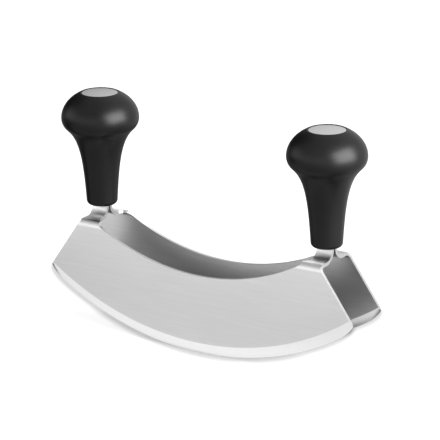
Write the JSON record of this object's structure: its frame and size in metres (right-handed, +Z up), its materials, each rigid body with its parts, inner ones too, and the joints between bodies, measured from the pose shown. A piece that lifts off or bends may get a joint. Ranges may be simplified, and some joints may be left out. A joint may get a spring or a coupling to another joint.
{
  "type": "mezzaluna",
  "caption": "Double-bladed rocking herb chopper: parallel curved steel blades folded in to meet under upright knob handles with flat steel caps.",
  "frame": {"origin": "midway between the blades and between the handles, level with the lowest point of the cutting edges", "axes": "+X along the blades, +Y across them towards the rear blade, +Z up towards the knobs"},
  "size_m": [0.228, 0.05, 0.1552],
  "materials": {
    "blade_steel": "brushed along the blade, with a finer ground bevel along the cutting edge",
    "handle_plastic": "satin moulded plastic",
    "cap_steel": "fine satin",
    "fastener_steel": "plain bright zinc plated"
  },
  "bodies": {
    "root": {"front_blade": "blade_steel", "rear_blade": "blade_steel", "left_handle": "handle_plastic", "right_handle": "handle_plastic", "left_tie_bolt": "fastener_steel", "right_tie_bolt": "fastener_steel", "left_lower_rivet": "fastener_steel", "left_upper_rivet": "fastener_steel", "right_lower_rivet": "fastener_steel", "right_upper_rivet": "fastener_steel", "left_washer": "fastener_steel", "right_washer": "fastener_steel", "left_nut": "fastener_steel", "right_nut": "fastener_steel", "left_cap": "cap_steel", "right_cap": "cap_steel"}
  },
  "joints": []
}
